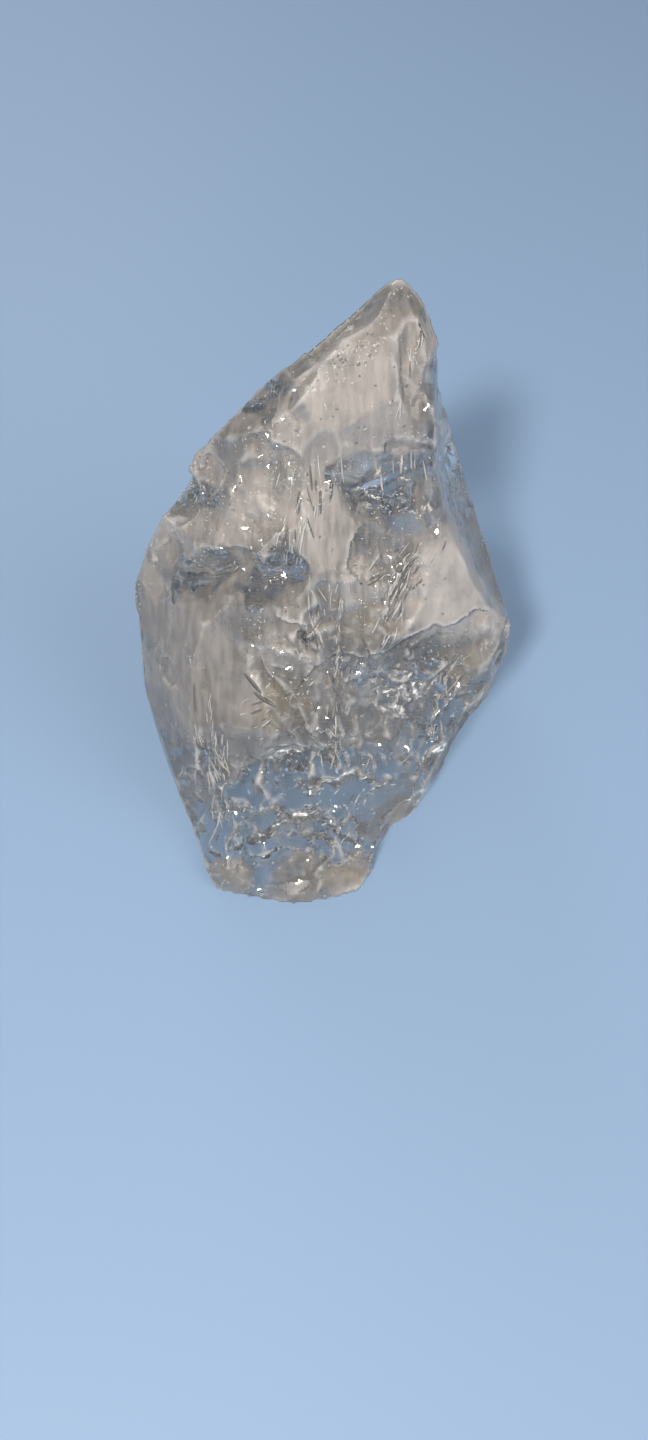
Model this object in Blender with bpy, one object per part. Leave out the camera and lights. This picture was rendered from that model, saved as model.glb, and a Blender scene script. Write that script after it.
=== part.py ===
"""A rough chunk of clear quartz, standing on its broken base with its point up.

The blank is the convex block that the big cleaved faces leave. Each shell-shaped break on it is a
scoop: a rippled ellipsoid cut into the block where a flake came off. Front is -Y, up is +Z.
"""

import math

import bmesh
import bpy
from mathutils import Matrix, Vector, noise

MM = 0.001
BOX_MIDDLE = Vector((0.68, 1.77, 0.0))  # mm, under the middle of the crystal's box: the origin
NODE = "quartz_chunk"
QUARTZ_COLOUR = (0.80, 0.79, 0.77, 1.0)
QUARTZ_ROUGHNESS = 0.15
SCOOP_EDGE = 2.9  # mm, the edge length that a scoop's facets aim at
RIPPLE_SPACING = 5.0  # mm between the rings that spread from where a flake was struck
RIPPLE_HEIGHT = 0.12  # mm
WAVE_LENGTH = 9.0  # mm between the swells that make a scoop's outline irregular
WAVE_HEIGHT = 0.7  # mm
WAVE_SHARE = 0.35  # most that a swell may take of a scoop's depth

# Corners of the block, in millimetres, from the ground up.
FOOT = [(-20.5, -26.5, 3), (-19, -28.5, 0), (-14.5, -29.6, 0), (-5, -31.3, 0), (2, -30, 0), (6, -28.8, 0)]
BASE = [
    (8.7, -24.3, 0), (19, -9.5, 0), (24.5, -0.3, 0), (33.2, 14, 0),
    (33, 26, 0), (12, 33, 0), (-14, 32, 0), (-25, 22, 0), (-26, 4, 0), (-23.5, -10, 0),
]
LEFT_RIM = [
    (-26.2, -12.5, 8), (-29.2, -5.5, 12.5), (-32.2, 3, 25), (-32.6, 9.5, 34), (-29.5, 13, 42),
    (-24.4, 15, 50), (-21.2, 15, 57.5), (-18, 15.2, 65.6), (-10.4, 17.2, 72), (-4.1, 20.3, 75.8), (4, 24, 80),
]
TIP = [(8.5, 27, 83), (10.5, 27, 84), (13.8, 25.3, 82), (16.4, 21.7, 77)]
RIGHT_RIM = [(17.8, 16, 70), (21, 10.5, 60), (25.8, 4.8, 46), (31.1, 3.8, 35), (31.2, 3, 29), (33, 14, 4)]
RIB = [(24.5, 0.5, 30), (19.5, -4, 24.5), (18, -9.5, 18), (16.8, -14.5, 11.5)]
FRONT = [
    (-18.7, -25, 9), (-6, -26.5, 10), (8, -25, 8),
    (-22, -9, 30), (-18, -1.5, 45), (-11, 3, 60), (-11, 10, 69.5), (-4.3, 13, 77.5), (1, 16, 81),
    (-1, -5.5, 48), (1, 8, 71), (12.3, 19, 82), (13.5, 14, 77),
]
BACK = [(31, 23, 18), (22, 32, 30), (-4, 35, 34), (-26, 24, 30), (10, 34, 58), (-14, 27, 56), (19, 26, 48)]


def scoop(at, facing, radius, depth, stretch=1.0, roll=0.0):
    """A shell-shaped break: where its middle lies, the azimuth and elevation it faces, the radius of its
    hollow and how deep it bites, all in millimetres and degrees. stretch lengthens it along roll."""
    return {"at": at, "facing": facing, "radius": radius, "depth": depth, "stretch": stretch, "roll": roll}


# Azimuth 0 faces the front and 90 the right side.
SCOOPS = {
    "upper_left_bevel": scoop((-5, 15.5, 76.5), (-80, 45), 50, 1.1, 1.8, 40),
    "tip_left": scoop((5.5, 24.6, 82.2), (-100, 55), 14, 1.5),
    "tip_groove": scoop((12.6, 17.5, 79), (15, 38), 3, 0.7, 5.0, 85),
    "tip_notch": scoop((15.8, 16.2, 75.2), (60, 26), 4.5, 1.8),
    "window_hollow": scoop((11, 5.4, 62.4), (14, 30), 36, 2.6, 1.2, 15),
    "centre_hollow": scoop((-0.5, 5.8, 67), (-5, 31), 4.5, 1.7, 2.0, 80),
    "left_shelf": scoop((-12.5, 5.5, 61), (-32, 33), 24, 1.8, 1.2, 60),
    "left_pocket": scoop((-16.3, 1.4, 50.9), (-30, 48), 3.6, 2.9, 2.0, 40),
    "second_pocket": scoop((-7.6, -1.6, 52.8), (-10, 45), 3.4, 2.3, 1.9, 38),
    "high_lobe": scoop((-17.5, 11, 60), (-50, 30), 24, 1.2, 1.3, 70),
    "low_lobe": scoop((-25, 8.5, 47), (-58, 25), 26, 1.5, 1.3, 60),
    "lobe_notch_high": scoop((-13.6, 16.4, 71), (-60, 30), 4.5, 0.8),
    "lobe_notch_middle": scoop((-22.2, 14.8, 54.4), (-62, 28), 5, 2.9),
    "lobe_notch_low": scoop((-30.2, 12, 41), (-69, 27), 6, 1.0),
    "right_flank": scoop((23.4, 17.5, 54.5), (82, 22), 48, 3.4, 1.2, 78),
    "under_right_face": scoop((12, -9, 33), (29, 14), 30, 3.2, 1.4, 12),
    "rib_side_high": scoop((23.5, -6, 23), (50, 7), 10, 2.0, 1.3, 50),
    "rib_side_low": scoop((18.8, -12.6, 14), (48, 8), 8, 1.6, 1.3, 60),
    "corner_break": scoop((30, -1, 27), (60, 5), 9, 2.0),
    "right_skirt": scoop((27, 4, 7), (58, 0), 34, 1.3, 1.3, 0),
    "right_foot_bay": scoop((13.5, -18.5, 3), (52, 5), 14, 3.0),
    "belly_left": scoop((-13, -5, 44), (-20, 24), 40, 1.4, 1.2, 60),
    "belly_right": scoop((2, -8, 42), (10, 26), 36, 1.6, 1.3, 80),
    "crease": scoop((-7.5, -11, 36.5), (-14, 30), 5, 1.4, 4.2, -52),
    "shin_left": scoop((-13, -19, 22), (-25, 28), 34, 2.0, 1.3, 80),
    "shin_middle": scoop((-3, -20, 20), (0, 32), 26, 2.6),
    "shin_right": scoop((8, -18.5, 18), (25, 24), 26, 2.3, 1.2, 60),
    "foot_hollow": scoop((-5, -26, 9), (-4, 30), 24, 2.0, 1.4),
    "foot_nick": scoop((-3, -31, 2), (0, 15), 5, 1.0, 1.5),
    "left_foot": scoop((-21, -20, 12), (-52, 18), 24, 1.5, 1.3, 70),
    "back_shell": scoop((3, 36, 46), (178, 10), 50, 6.0, 1.3, 80),
    "back_left_shell": scoop((-22, 28, 38), (-148, 10), 44, 5.5, 1.2, 60),
    "back_right_shell": scoop((28, 27, 34), (128, 14), 42, 5.0, 1.2, 70),
    "back_low_shell": scoop((4, 34.5, 15), (177, 4), 34, 4.0, 1.3),
    "back_left_low": scoop((-28.5, 15, 16), (-100, 2), 36, 2.8, 1.2),
    "back_right_low": scoop((32.5, 20, 12), (98, 4), 34, 2.2),
    "back_high_left": scoop((-12, 24, 66), (-130, 25), 36, 3.0, 1.2, 50),
    "back_high_right": scoop((15.5, 27.5, 66), (135, 20), 30, 2.0, 1.1, 70),
}


def clear_scene():
    for obj in list(bpy.data.objects):
        bpy.data.objects.remove(obj)


def collection_named(name):
    collection = bpy.data.collections.new(name)
    bpy.context.scene.collection.children.link(collection)
    return collection


def place(point):
    """A point given in millimetres from the corners' own zero, in metres from the origin."""
    return (Vector(point) - BOX_MIDDLE) * MM


def direction(azimuth, elevation):
    """The unit vector that faces azimuth and elevation, in degrees."""
    a, e = math.radians(azimuth), math.radians(elevation)
    return Vector((math.sin(a) * math.cos(e), -math.cos(a) * math.cos(e), math.sin(e)))


def make_block(collection, material):
    """The convex block whose corners are the meeting points of the big faces."""
    corners = FOOT + BASE + LEFT_RIM + TIP + RIGHT_RIM + RIB + FRONT + BACK
    mesh = bpy.data.meshes.new(NODE)
    shape = bmesh.new()
    for corner in corners:
        shape.verts.new(place(corner))
    hull = bmesh.ops.convex_hull(shape, input=shape.verts)
    inside = {v for v in hull["geom_interior"] + hull["geom_unused"] if isinstance(v, bmesh.types.BMVert)}
    bmesh.ops.delete(shape, geom=list(inside), context="VERTS")
    bmesh.ops.recalc_face_normals(shape, faces=shape.faces)
    shape.to_mesh(mesh)
    shape.free()
    mesh.materials.append(material)
    block = bpy.data.objects.new(NODE, mesh)
    collection.objects.link(block)
    return block


def ripple(point, cut, seed):
    """How far the broken surface stands in at a point of a scoop: rings round the strike, and swells."""
    rim = math.sqrt(2.0 * cut["radius"] * cut["depth"])
    strike = Vector((rim, 0.0, cut["depth"] - cut["radius"]))
    rings = math.sin(math.tau * (point - strike).length / RIPPLE_SPACING)
    swells = noise.noise(point / WAVE_LENGTH + Vector((seed, seed, seed)))
    return RIPPLE_HEIGHT * rings + min(WAVE_HEIGHT, WAVE_SHARE * cut["depth"]) * swells


def make_cutter(name, cut, seed, collection):
    """The ellipsoid that a scoop is cut with, standing out of the block by its radius less its depth."""
    outward = direction(*cut["facing"])
    fineness = 1 + math.ceil(math.log2(1.1 * cut["radius"] / SCOOP_EDGE))
    mesh = bpy.data.meshes.new(name)
    shape = bmesh.new()
    bmesh.ops.create_icosphere(shape, subdivisions=max(3, fineness), radius=cut["radius"])
    for vert in shape.verts:
        vert.co -= vert.co.normalized() * ripple(vert.co, cut, seed)
    shape.to_mesh(mesh)
    shape.free()
    cutter = bpy.data.objects.new(name, mesh)
    centre = Vector(cut["at"]) + outward * (cut["radius"] - cut["depth"])
    cutter.matrix_world = (
        Matrix.Translation(place(centre))
        @ outward.to_track_quat("Z", "Y").to_matrix().to_4x4()
        @ Matrix.Rotation(math.radians(cut["roll"]), 4, "Z")
        @ Matrix.Diagonal((cut["stretch"] * MM, MM, MM, 1.0))
    )
    cutter.display_type = "WIRE"
    cutter.hide_render = True
    collection.objects.link(cutter)
    return cutter


def cut_scoops(block, cutters):
    for seed, (name, cut) in enumerate(SCOOPS.items()):
        boolean = block.modifiers.new(name, "BOOLEAN")
        boolean.operation = "DIFFERENCE"
        boolean.solver = "EXACT"
        boolean.object = make_cutter(name, cut, seed, cutters)


def main():
    clear_scene()
    parts = collection_named("quartz_crystal")
    cutters = collection_named("cutters")
    material = bpy.data.materials.new("clear_quartz")
    material.use_nodes = True
    shader = material.node_tree.nodes["Principled BSDF"]
    shader.inputs["Base Color"].default_value = QUARTZ_COLOUR
    shader.inputs["Roughness"].default_value = QUARTZ_ROUGHNESS
    block = make_block(parts, material)
    cut_scoops(block, cutters)


main()
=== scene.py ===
"""A rough chunk of quartz: its broken faces, what is sealed inside it, and the table it stands on.

Run as a script it builds the whole scene. The sidebar panel shows the settings and lists each step.
Lengths in the settings are metres; the shape of the breaks is worked out in millimetres.
"""

import math

import bmesh
import bpy
import numpy as np
from bpy.props import FloatProperty, FloatVectorProperty, IntProperty, PointerProperty
from mathutils import Matrix, Vector, noise
from mathutils.bvhtree import BVHTree


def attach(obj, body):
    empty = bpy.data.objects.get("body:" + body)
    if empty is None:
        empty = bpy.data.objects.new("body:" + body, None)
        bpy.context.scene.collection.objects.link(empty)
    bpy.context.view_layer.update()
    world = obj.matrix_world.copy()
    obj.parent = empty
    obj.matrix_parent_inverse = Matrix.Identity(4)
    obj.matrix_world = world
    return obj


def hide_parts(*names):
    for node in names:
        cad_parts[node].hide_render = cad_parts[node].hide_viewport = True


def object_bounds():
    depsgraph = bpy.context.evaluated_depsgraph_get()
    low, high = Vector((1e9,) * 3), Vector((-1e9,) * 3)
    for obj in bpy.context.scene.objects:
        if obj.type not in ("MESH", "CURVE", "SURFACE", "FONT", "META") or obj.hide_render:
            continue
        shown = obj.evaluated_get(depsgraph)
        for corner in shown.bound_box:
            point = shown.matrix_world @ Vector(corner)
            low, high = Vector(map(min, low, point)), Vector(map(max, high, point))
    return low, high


bl_info = {
    "name": "Rough quartz chunk",
    "version": (1, 0, 0),
    "blender": (4, 5, 0),
    "location": "View3D > Sidebar > Quartz",
    "description": "Builds a broken chunk of clear and milky quartz on a pale table",
    "category": "Add Mesh",
}

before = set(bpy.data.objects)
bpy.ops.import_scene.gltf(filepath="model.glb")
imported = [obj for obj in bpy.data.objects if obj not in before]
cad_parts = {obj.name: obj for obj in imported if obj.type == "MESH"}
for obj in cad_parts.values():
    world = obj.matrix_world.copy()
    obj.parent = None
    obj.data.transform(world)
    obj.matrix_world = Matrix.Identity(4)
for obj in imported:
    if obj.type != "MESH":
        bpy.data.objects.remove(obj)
CAD_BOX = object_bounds()
CHUNK_NODE = "quartz_chunk"
CHUNK = "quartz_crystal"
# The piece of slivers, specks and slits: its white specks are painted glints and its dark slits partly
# painted shade.
SLIVERS_PIECE = "white_slivers"
SLOT = "clear_quartz"
BODY = "root"
STREAK_GROUP = "quartz_streaks"
MILK_FINISH = "milky_veil"
MM = 0.001
SEED = 7
noise.seed_set(SEED)

LOOK_IN = Vector((0.0, 1.0, 0.0))
UPRIGHT = Vector((0.0, 0.0, 1.0))
# Where a look at the front starts, in metres, and how far a place past the outline is drawn inwards.
LOOK_FROM = -1.0
DRAWN_IN = (1.0, 0.98, 0.96, 0.93, 0.9)

# The eye: where it is, in metres, how far it leans up from straight down, in degrees, and its lens.
EYE = Vector((-0.00068, -0.10177, 0.180))
EYE_TILT = 30.6
LENS = 27.025
# Lamps: place, size, power and colour, in metres and watts.
LAMPS = {
    "key": (Vector((-0.15, -0.34, 0.50)), 0.07, 2.55, (1.0, 0.94, 0.87)),
    "fill": (Vector((0.40, -0.20, 0.45)), 0.40, 1.1, (1.0, 0.98, 0.96)),
    "rim": (Vector((-0.20, 0.50, 0.35)), 0.25, 0.6, (1.0, 1.0, 1.0)),
}
LAMPS_AIM = Vector((0, 0, 0.04))
# The room's glow: its colour, and how strong it is at eye level and straight above.
ROOM_COLOUR = (0.95, 0.96, 0.98, 1.0)
ROOM_GLOW = (0.21, 0.28)
TABLE_SIZE = 3.0
TABLE_ROUGHNESS = 0.55
TABLE_GAP = 0.0002

# Zones of the front, as places (across, up) seen from the front and a radius, in millimetres.
# Windows are clear, and milk is white.
WINDOWS = [
    ((6.5, 63.5), 4.0), ((12.5, 60.5), 5.5), ((19, 56), 4.0), ((-22.5, 44.5), 2.6), ((-19, 47.5), 3.4),
    ((-16, 50.5), 3.0), ((-11.0, 49.6), 2.2), ((-8.5, 51), 3.4), ((-5, 53.3), 2.4), ((-4.1, 76.6), 1.5),
    ((-7.1, 73.7), 1.6), ((-10.1, 70.8), 1.6), ((-14, 67.9), 1.6), ((14.5, 74), 2.4), ((7, 31), 3.4),
    ((12, 30), 3.8), ((16.5, 31), 3.2), ((21, 21), 3.0), ((21, 8), 4.0), ((-4.5, 20), 6.0),
    ((2, 17), 6.5), ((-11.5, 18), 4.5), ((0.5, 9), 4.0), ((-13.5, 9), 4.0), ((-22, 20), 3.6),
    ((-21.5, 5), 3.4), ((7, 19), 3.5), ((-17.5, 58), 2.4), ((2.5, 67), 2.2), ((-3.3, 43.5), 1.4),
]
MILK = [
    ((5.5, 81), 5.0), ((6, 77), 6.0), ((3, 74), 5.0), ((-4, 72.5), 4.5), ((18, 52), 5.5),
    ((20, 44), 6.5), ((14, 46), 5.0), ((26, 37), 5.0), ((-15.5, 56), 3.6), ((-13, 58.5), 3.6),
    ((-22, 38), 6.5), ((-22, 31), 6.5), ((-15.5, 33), 5.0), ((-6, 44), 5.5), ((-3, 11), 2.4),
    ((6.5, 10), 3.4), ((-17, 2), 3.5), ((-6.5, 2), 4.0), ((3, 2.5), 4.0), ((13, 4), 3.5),
    ((-29, 36.5), 4.0), ((-19, 61.5), 3.5), ((-8, 62), 6.0), ((-1, 60), 5.0), ((4, 70), 4.5),
    ((-4, 67), 5.0), ((6.5, 83), 3.0), ((10, 68), 3.0), ((21, 48), 6.0), ((-2, 75), 3.0),
    ((11, 79), 3.5), ((13, 76), 3.0), ((-19.2, 60.1), 4.5), ((-21.6, 52.5), 4.0), ((-25.9, 47), 3.5),
    ((-29.5, 40), 3.5), ((1.5, 81), 2.5), ((-1.2, 79.4), 2.5), ((4, 83), 2.5), ((11, 39), 3.0),
    ((15, 37.5), 3.0),
]
# Calm faces broke smoothly, rough ones crumbled, and streaky ones split into fine upright steps.
CALM = [
    ((5.5, 80), 7.0), ((3, 74), 6.0), ((19, 50), 7.0), ((21, 44), 6.0), ((14, 46), 4.0),
    ((-21, 38), 6.0), ((-20, 30), 6.0), ((-17, 33), 4.0), ((-15.5, 56), 4.0), ((-8, 65), 5.0),
    ((-20, 59.5), 4.0), ((-14, 66), 3.5), ((24, 40), 5.0), ((-19, 60), 4.5), ((-22, 52.5), 3.0),
    ((-26, 46.5), 3.5),
]
ROUGH = [
    ((0, 40), 9.0), ((8, 33), 10.0), ((16, 30), 7.0), ((0, 24), 9.0), ((10, 20), 9.0), ((-10, 18), 9.0),
    ((0, 9), 8.0), ((-17, 10), 6.0), ((-22, 52), 3.0), ((8, 54), 4.0), ((-8, 49), 4.0),
    ((27, 36), 4.0), ((20, 12), 7.0),
]
STREAKY = [
    ((9, 66), 6.0), ((3, 60), 7.0), ((-3, 64), 7.0), ((8, 52), 6.0), ((-19, 20), 6.0), ((-17, 10), 5.0),
    ((12, 79), 4.0), ((0, 50), 6.0), ((2, 20), 6.0), ((-5, 60), 6.0), ((-26, 20), 6.0),
]
# Tones of the milk: pale, whitest, golden or smoky. On the right face the pale and whitest tones are
# painted highlight, as if more light fell on that face.
PALE = [
    ((5.5, 80), 7.0), ((3, 74), 7.0), ((-4, 71), 6.0), ((10, 70), 5.0), ((20, 50), 7.0),
    ((21, 43), 7.0), ((-15.5, 56.5), 4.5), ((-9, 60), 6.0), ((-19, 62), 4.0), ((-3, 62), 6.0),
    ((-17, 2), 4.0), ((3, 3), 5.0), ((13, 4), 4.0), ((4, 52), 4.0), ((-10, 43), 4.0), ((6.5, 83), 4.0),
    ((24, 40), 5.0), ((12, 78), 5.0), ((-19.2, 60.1), 4.5), ((-21.6, 52.5), 4.0), ((-25.9, 47), 3.5),
    ((-29.5, 40), 3.5), ((1.5, 81), 3.0), ((4, 83), 3.0),
]
# The right face, painted whitest: a painted highlight.
PAINTED_LIT_FACE = [((20, 50), 7.0), ((22, 43), 7.0), ((24, 39), 5.0), ((15, 47), 4.0)]
GOLDEN = [
    ((-17, 3), 4.0), ((3, 4), 5.0), ((13, 5), 4.0), ((5, 46), 4.0), ((-7, 33), 4.0), ((22, 30), 3.0),
    ((-5, 8), 4.0), ((8, 20), 4.0),
]
SMOKY = [
    ((13, 38), 5.5), ((19, 34), 4.0), ((-2, 30), 6.0), ((-12, 24), 6.0), ((3, 40), 4.0),
    ((-3, 12), 5.0), ((-24, 46), 4.0), ((8, 12), 5.0), ((18, 24), 6.0), ((-5, 36), 4.0),
    ((14, 31), 6.0), ((21, 16), 5.0),
]
# Windows whose skin is polished as well.
GLASSY = [
    ((7.0, 63.5), 5.0), ((12.5, 60.5), 6.5), ((17.5, 57.0), 4.5), ((-21.0, 46.0), 4.0),
    ((-17.0, 49.5), 4.0), ((-11.0, 49.5), 4.0), ((-7.0, 51.5), 4.0), ((14.5, 75.0), 2.5),
]
ZONES = {"milky": MILK, "calm": CALM, "rough": ROUGH, "streaky": STREAKY}

# Marks drawn along a line on the front: its points, then how wide and how deep it bites.
# A ledge bites on one side only: to the left as its line runs, or to the right if its depth is negative.
GROOVES = {
    "crease": ([(-12.9, 42.6), (-10.4, 37.5), (-4.5, 31.2), (-1.5, 25), (0.3, 20.6)], 1.5, 1.5),
    "slit": ([(-4.3, 46.2), (-3.0, 43.5), (-1.6, 41.1)], 0.8, 1.1),
    "foot_split": ([(-3.0, 8.5), (-2.4, 4.0), (-2.6, 1.0)], 0.9, 0.7),
    "tip_left": ([(9.6, 82.0), (10.2, 78.0), (10.8, 74.0)], 0.7, 0.7),
    "tip_right": ([(12.2, 80.0), (12.6, 76.5), (12.4, 73.0)], 0.8, 0.6),
    "pocket_hole": ([(-19.8, 48.6), (-19.0, 46.8)], 1.0, 1.4),
}
RIDGES = {
    "left_outer": ([(-20.9, 27.7), (-19.1, 15.6), (-18.2, 9.0)], 1.6, 0.5),
    "left_inner": ([(-19.0, 32.4), (-18.6, 22.5), (-17.0, 13.3), (-15.2, 7.6)], 1.8, 0.6),
    "rib": ([(23.0, 31.2), (19.4, 27.9), (18.0, 22.6), (17.3, 15.4), (16.4, 7.5)], 2.6, 0.9),
    "column": ([(2.0, 50.0), (1.2, 40.0), (0.6, 30.0), (2.0, 22.0)], 2.2, 0.6),
}
LEDGES = {
    "bevel": (
        [(3.2, 79.7), (-0.8, 79.5), (-5.1, 75.6), (-8.3, 72.3), (-12.2, 69.1), (-15.9, 66.4)], 3.4, 0.35,
    ),
    "upper_lobe": ([(-16.5, 65.8), (-19.3, 58.8), (-21.6, 53.0)], 3.0, 0.5),
    "lower_lobe": ([(-22.3, 51.0), (-26.8, 46.0), (-29.9, 40.0)], 3.0, 0.5),
    "brow": ([(0.1, 72.9), (2.2, 71.3), (4.4, 69.1), (10.1, 67.4), (16.7, 61.1)], 3.0, 0.3),
    "right_face": ([(10.6, 55.6), (9.9, 50.9), (8.7, 43.8)], 3.0, 0.6),
    "foot_lip": ([(-20.2, 4.3), (-13.5, 6.2), (-6.6, 6.7), (0.4, 6.0), (6.0, 3.8)], 3.0, -0.6),
}
# How fast a mark grows from its ends, how a groove's sides flare, and how wide a ridge's crest is.
MARK_FADE = 6.0
GROOVE_FLARE = 0.7
RIDGE_CREST = 0.35

# Flat breaks on the front: place, (azimuth, elevation) faced, radius, depth.
PANES = [
    ((-19.0, 47.4), (-50, 38), 4.8, 1.3), ((-9.5, 50.6), (-35, 70), 4.6, 1.2),
    ((-12.0, 57.2), (25, 45), 2.6, 0.7), ((11.0, 61.5), (8, 50), 7.0, 1.0),
    ((15.0, 36.5), (15, 25), 5.5, 1.2), ((-5.0, 21.0), (-25, 35), 5.5, 1.0),
    ((3.0, 16.0), (22, 50), 5.0, 1.0), ((21.0, 21.0), (50, 35), 4.5, 0.9),
    ((0.5, 9.0), (-8, 25), 4.0, 0.8), ((-13.0, 9.0), (-30, 25), 4.0, 0.8),
    ((8.0, 31.0), (30, 35), 4.5, 0.9), ((-8.0, 38.0), (20, 62), 4.5, 0.9),
    ((21.0, 8.0), (60, 20), 4.0, 0.8),
]

# Two points of the CAD chunk closer than this, in metres, are one, and rays start this far inside.
DOUBLES_APART = 1e-6
RAY_CLEARANCE = 1e-5
# Chips: the least reach from middle to rim, how much more it may be, and the reach of a usual one.
CHIP_LEAST = 1.5
CHIP_MORE = 6.5
CHIP_USUAL = 3.0
# Chips: how their depth varies, how they tilt, and how far out, how squarely and how deep they bite.
CHIP_DEPTHS = (0.4, 1.4)
CHIP_TILT = 0.22
CHIP_SPREAD = 1.6
CHIP_FACING = 0.25
CHIP_PUSH = 1.6
# Facets are stretched in depth and upwards, and streaks more so. Each facet leans its own way.
FACET_SQUEEZE = (1.0, 0.8, 0.55)
FACET_LEANS = 7.31
STREAK_SQUEEZE = 0.12
# The stone is carved fully where it is this thick, and not at all this close to its flat foot.
FULL_THICKNESS = 7.0
FLAT_FOOT = 0.05
# How far an edge stands out of its surroundings to be a crisp one.
CRISP_BULGE = 0.12
# How often points are averaged with their neighbours: to see what is around them, to find or soften
# edges, and to polish a window, which is done to this share.
AROUND_ROUNDS = 10
EDGE_ROUNDS = 3
POLISH_ROUNDS = 26
POLISH = 0.9
# The zones' ragged outlines are the same on the stone and in its veils.
ZONE_SEED = 41

# Cracks inside: (across, up), depth under the front, azimuth and elevation faced, radius.
CRACKS = [
    ((7, 31), 5.0, (35, 5), 3.0), ((12, 29), 7.0, (70, 20), 3.5), ((17, 28), 4.0, (60, 0), 2.5),
    ((-3, 44), 2.5, (30, -10), 3.0), ((2, 36), 6.0, (-30, 30), 6.0), ((-6, 34), 5.0, (25, 45), 4.5),
    ((10, 59.5), 4.5, (40, 60), 3.0), ((4, 50), 4.0, (60, 10), 5.0),
    ((-8, 20), 5.0, (10, 60), 6.0), ((2, 15), 4.0, (-20, 50), 6.0), ((-14, 12), 3.5, (-40, 20), 3.5),
    ((8, 18), 5.0, (20, 55), 5.5), ((21, 18), 3.0, (60, 30), 3.5), ((-1, 64), 3.0, (-60, 20), 3.5),
    ((-22, 22), 4.0, (-30, 40), 4.5), ((-16, 47), 3.5, (10, 60), 4.0), ((-7, 46), 4.0, (-10, 50), 4.5),
    ((0, 27), 9.0, (0, 30), 9.0), ((8, 42), 10.0, (10, 20), 9.0), ((-10, 40), 9.0, (-20, 35), 8.0),
]
# A crack's half thickness, and its most reach as a share of the stone over it. Then its length and its
# ripple as shares of its reach, and how ragged the rims of cracks and flakes are.
CRACK_THICKNESS = 0.03
CRACK_REACH = 0.6
CRACK_LENGTH = 0.8
CRACK_RIPPLE = 0.25
RAGGED_RIM = 0.35
# How far flakes and specks scatter round their place, as a share of its radius.
SCATTER = 0.6
# Tiny flakes: how deep they lie, their half lengths and widths, how far they stray from the lamp, and
# the least stone over one, in half lengths.
FLAKE_DEPTHS = (0.6, 4.0)
FLAKE_LENGTHS = (0.25, 0.8)
FLAKE_WIDTHS = (0.1, 0.3)
FLAKE_THICKNESS = 0.02
FLAKE_STRAY = 0.06
FLAKE_CLEARANCE = 1.6
# Where flakes glint: place and radius.
GLINTS = [
    ((8, 47), 3.0), ((9, 51), 2.5), ((-22, 37), 1.5), ((8.5, 61), 3.0), ((-1.5, 65), 2.0),
    ((-5.5, 66.5), 2.5), ((-10.5, 57.5), 1.5), ((-9, 72), 2.5), ((-22, 26), 2.5), ((15, 51), 4.0),
    ((-4.5, 36), 4.0), ((3.5, 36), 4.0), ((12, 31), 5.0), ((17, 29), 4.0), ((-3, 18), 6.0),
    ((4, 15), 5.0), ((-14, 14), 4.0), ((-6, 5), 4.0), ((20, 20), 4.0), ((-8, 44), 4.0), ((26, 37), 4.0),
    ((-18, 60), 3.0), ((0, 26), 5.0), ((4, 5), 4.0),
]

# White slivers just under the front: from, to, how far they stray, how many, length, lean in degrees.
SLIVERS = [
    ((8.6, 43.0), (12.2, 53.5), 2.0, 60, 3.4, 24), ((5.0, 66.5), (20.0, 61.0), 3.0, 18, 3.0, 4),
    ((-7.5, 55.0), (-2.0, 66.0), 3.0, 46, 4.0, 3), ((-3.5, 44.0), (1.5, 54.0), 3.0, 30, 3.4, 2),
    ((1.0, 22.0), (2.0, 42.0), 1.6, 22, 4.0, 2), ((-24.0, 14.0), (-20.0, 34.0), 3.5, 16, 4.5, -6),
    ((-19.5, 8.0), (-17.0, 26.0), 1.8, 34, 4.5, -6), ((20.0, 8.0), (21.0, 30.0), 2.4, 26, 4.5, 10),
    ((6.0, 50.0), (16.0, 54.0), 2.0, 18, 2.6, 35), ((-13.0, 30.0), (-4.0, 38.0), 3.5, 22, 2.0, 50),
    ((10.0, 74.0), (12.5, 81.0), 1.0, 16, 3.0, 8), ((-6.0, 8.0), (8.0, 20.0), 4.5, 34, 2.0, 40),
]

# Slivers and specks: thickness, depths, half widths and half lengths, and a sliver's turn in degrees.
SLIVER_THICKNESS = 0.02
SLIVER_DEPTHS = (0.06, 0.10)
SLIVER_WIDTHS = (0.07, 0.17)
SLIVER_TURN = 6.0
SPECK_WIDTHS = (0.06, 0.17)
SPECK_LENGTHS = (0.12, 0.42)
# A sliver's length as a share of its run's, and how far the specks' places are widened.
SLIVER_LENGTHS = (0.3, 1.2)
SPECK_REACH = 1.2
# Shares of the slivers and the specks that are dark.
DARK_SLIVERS = 0.3
DARK_SPECKS = 0.2
# Seams of slivers along the ridges: how many to a millimetre, and how they vary, stray and turn.
SEAM_DENSITY = 1.2
SEAM_WIDTHS = (0.05, 0.10)
SEAM_LENGTHS = (0.4, 1.4)
SEAM_STRAY = 0.15
SEAM_TURN = 0.05
# Spots that mirror the lamp: how far they scatter, as a share of their place's radius and beyond it,
# radius of their bend, radii on the surface, where their rim ends, how far they stray from the lamp,
# how squarely the surface must face that way already, and their frost.
FLASH_SCATTER = 0.8
FLASH_MORE_SCATTER = 1.5
FLASH_BEND = 6.0
FLASH_RADII = (0.45, 0.75)
FLASH_RIM = 1.25
FLASH_STRAY = 0.04
FLASH_FACING = 0.85
FLASH_FROST = -0.6
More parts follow.
